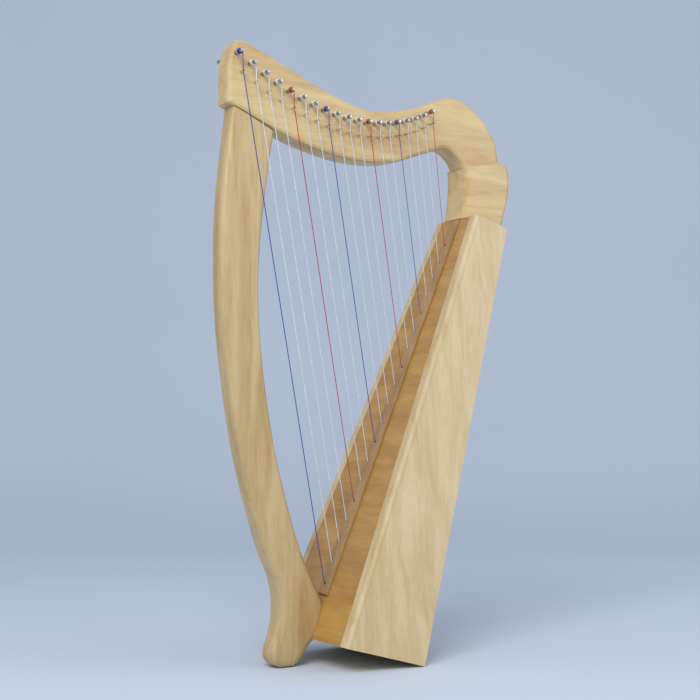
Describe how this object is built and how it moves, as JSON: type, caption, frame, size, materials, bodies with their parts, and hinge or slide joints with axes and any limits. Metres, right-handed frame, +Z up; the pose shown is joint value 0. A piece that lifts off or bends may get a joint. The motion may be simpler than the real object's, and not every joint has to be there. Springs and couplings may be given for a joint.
{
  "type": "lap harp",
  "caption": "Small wooden harp with a bowed pillar, curved neck, tapered soundbox, coloured marker strings and turning through pins.",
  "frame": {"origin": "on the floor, under the middle of the harp's bounding box", "axes": "+X from the pillar to the soundbox, +Y away from the string side of the neck, +Z up"},
  "size_m": [0.4577, 0.1852, 0.7932],
  "materials": {
    "beech": "satin",
    "soundboard_beech": "satin",
    "rib_beech": "satin",
    "nickel_steel": "polished",
    "blue_nylon": "gloss",
    "red_nylon": "gloss",
    "clear_nylon": "gloss"
  },
  "bodies": {
    "frame": {"pillar": "beech", "neck": "beech", "shoulder_block": "beech", "left_side": "beech", "right_side": "beech", "left_edge_strip": "beech", "right_edge_strip": "beech", "back_panel": "beech", "bottom_board": "beech", "top_board": "beech", "left_lining": "beech", "right_lining": "beech", "soundboard": "soundboard_beech", "string_rib": "rib_beech", "inner_rib": "rib_beech", "string_01": "blue_nylon", "string_02": "clear_nylon", "string_03": "clear_nylon", "string_04": "clear_nylon", "string_05": "red_nylon", "string_06": "clear_nylon", "string_07": "clear_nylon", "string_08": "blue_nylon", "string_09": "clear_nylon", "string_10": "clear_nylon", "string_11": "clear_nylon", "string_12": "red_nylon", "string_13": "clear_nylon", "string_14": "clear_nylon", "string_15": "blue_nylon", "string_16": "clear_nylon", "string_17": "clear_nylon", "string_18": "clear_nylon", "string_19": "red_nylon"},
    "tuning_pin_01_body": {"tuning_pin_01": "nickel_steel"},
    "tuning_pin_02_body": {"tuning_pin_02": "nickel_steel"},
    "tuning_pin_03_body": {"tuning_pin_03": "nickel_steel"},
    "tuning_pin_04_body": {"tuning_pin_04": "nickel_steel"},
    "tuning_pin_05_body": {"tuning_pin_05": "nickel_steel"},
    "tuning_pin_06_body": {"tuning_pin_06": "nickel_steel"},
    "tuning_pin_07_body": {"tuning_pin_07": "nickel_steel"},
    "tuning_pin_08_body": {"tuning_pin_08": "nickel_steel"},
    "tuning_pin_09_body": {"tuning_pin_09": "nickel_steel"},
    "tuning_pin_10_body": {"tuning_pin_10": "nickel_steel"},
    "tuning_pin_11_body": {"tuning_pin_11": "nickel_steel"},
    "tuning_pin_12_body": {"tuning_pin_12": "nickel_steel"},
    "tuning_pin_13_body": {"tuning_pin_13": "nickel_steel"},
    "tuning_pin_14_body": {"tuning_pin_14": "nickel_steel"},
    "tuning_pin_15_body": {"tuning_pin_15": "nickel_steel"},
    "tuning_pin_16_body": {"tuning_pin_16": "nickel_steel"},
    "tuning_pin_17_body": {"tuning_pin_17": "nickel_steel"},
    "tuning_pin_18_body": {"tuning_pin_18": "nickel_steel"},
    "tuning_pin_19_body": {"tuning_pin_19": "nickel_steel"}
  },
  "joints": [
    {"name": "tuning_pin_01_turn", "type": "hinge", "parent": "frame", "child": "tuning_pin_01_body", "pos_m": [-0.21257, 0.008, 0.77476], "axis": [0, 1, 0], "continuous": true},
    {"name": "tuning_pin_02_turn", "type": "hinge", "parent": "frame", "child": "tuning_pin_02_body", "pos_m": [-0.19342, 0.008, 0.76348], "axis": [0, 1, 0], "continuous": true},
    {"name": "tuning_pin_03_turn", "type": "hinge", "parent": "frame", "child": "tuning_pin_03_body", "pos_m": [-0.17456, 0.008, 0.75329], "axis": [0, 1, 0], "continuous": true},
    {"name": "tuning_pin_04_turn", "type": "hinge", "parent": "frame", "child": "tuning_pin_04_body", "pos_m": [-0.15602, 0.008, 0.74419], "axis": [0, 1, 0], "continuous": true},
    {"name": "tuning_pin_05_turn", "type": "hinge", "parent": "frame", "child": "tuning_pin_05_body", "pos_m": [-0.13778, 0.008, 0.73619], "axis": [0, 1, 0], "continuous": true},
    {"name": "tuning_pin_06_turn", "type": "hinge", "parent": "frame", "child": "tuning_pin_06_body", "pos_m": [-0.11984, 0.008, 0.72928], "axis": [0, 1, 0], "continuous": true},
    {"name": "tuning_pin_07_turn", "type": "hinge", "parent": "frame", "child": "tuning_pin_07_body", "pos_m": [-0.10222, 0.008, 0.72347], "axis": [0, 1, 0], "continuous": true},
    {"name": "tuning_pin_08_turn", "type": "hinge", "parent": "frame", "child": "tuning_pin_08_body", "pos_m": [-0.08489, 0.008, 0.71874], "axis": [0, 1, 0], "continuous": true},
    {"name": "tuning_pin_09_turn", "type": "hinge", "parent": "frame", "child": "tuning_pin_09_body", "pos_m": [-0.06787, 0.008, 0.71512], "axis": [0, 1, 0], "continuous": true},
    {"name": "tuning_pin_10_turn", "type": "hinge", "parent": "frame", "child": "tuning_pin_10_body", "pos_m": [-0.05116, 0.008, 0.71258], "axis": [0, 1, 0], "continuous": true},
    {"name": "tuning_pin_11_turn", "type": "hinge", "parent": "frame", "child": "tuning_pin_11_body", "pos_m": [-0.03476, 0.008, 0.71114], "axis": [0, 1, 0], "continuous": true},
    {"name": "tuning_pin_12_turn", "type": "hinge", "parent": "frame", "child": "tuning_pin_12_body", "pos_m": [-0.01865, 0.008, 0.7108], "axis": [0, 1, 0], "continuous": true},
    {"name": "tuning_pin_13_turn", "type": "hinge", "parent": "frame", "child": "tuning_pin_13_body", "pos_m": [-0.00286, 0.008, 0.71154], "axis": [0, 1, 0], "continuous": true},
    {"name": "tuning_pin_14_turn", "type": "hinge", "parent": "frame", "child": "tuning_pin_14_body", "pos_m": [0.01263, 0.008, 0.71339], "axis": [0, 1, 0], "continuous": true},
    {"name": "tuning_pin_15_turn", "type": "hinge", "parent": "frame", "child": "tuning_pin_15_body", "pos_m": [0.02782, 0.008, 0.71632], "axis": [0, 1, 0], "continuous": true},
    {"name": "tuning_pin_16_turn", "type": "hinge", "parent": "frame", "child": "tuning_pin_16_body", "pos_m": [0.0427, 0.008, 0.72035], "axis": [0, 1, 0], "continuous": true},
    {"name": "tuning_pin_17_turn", "type": "hinge", "parent": "frame", "child": "tuning_pin_17_body", "pos_m": [0.05727, 0.008, 0.72548], "axis": [0, 1, 0], "continuous": true},
    {"name": "tuning_pin_18_turn", "type": "hinge", "parent": "frame", "child": "tuning_pin_18_body", "pos_m": [0.07154, 0.008, 0.73169], "axis": [0, 1, 0], "continuous": true},
    {"name": "tuning_pin_19_turn", "type": "hinge", "parent": "frame", "child": "tuning_pin_19_body", "pos_m": [0.0855, 0.008, 0.739], "axis": [0, 1, 0], "continuous": true}
  ]
}
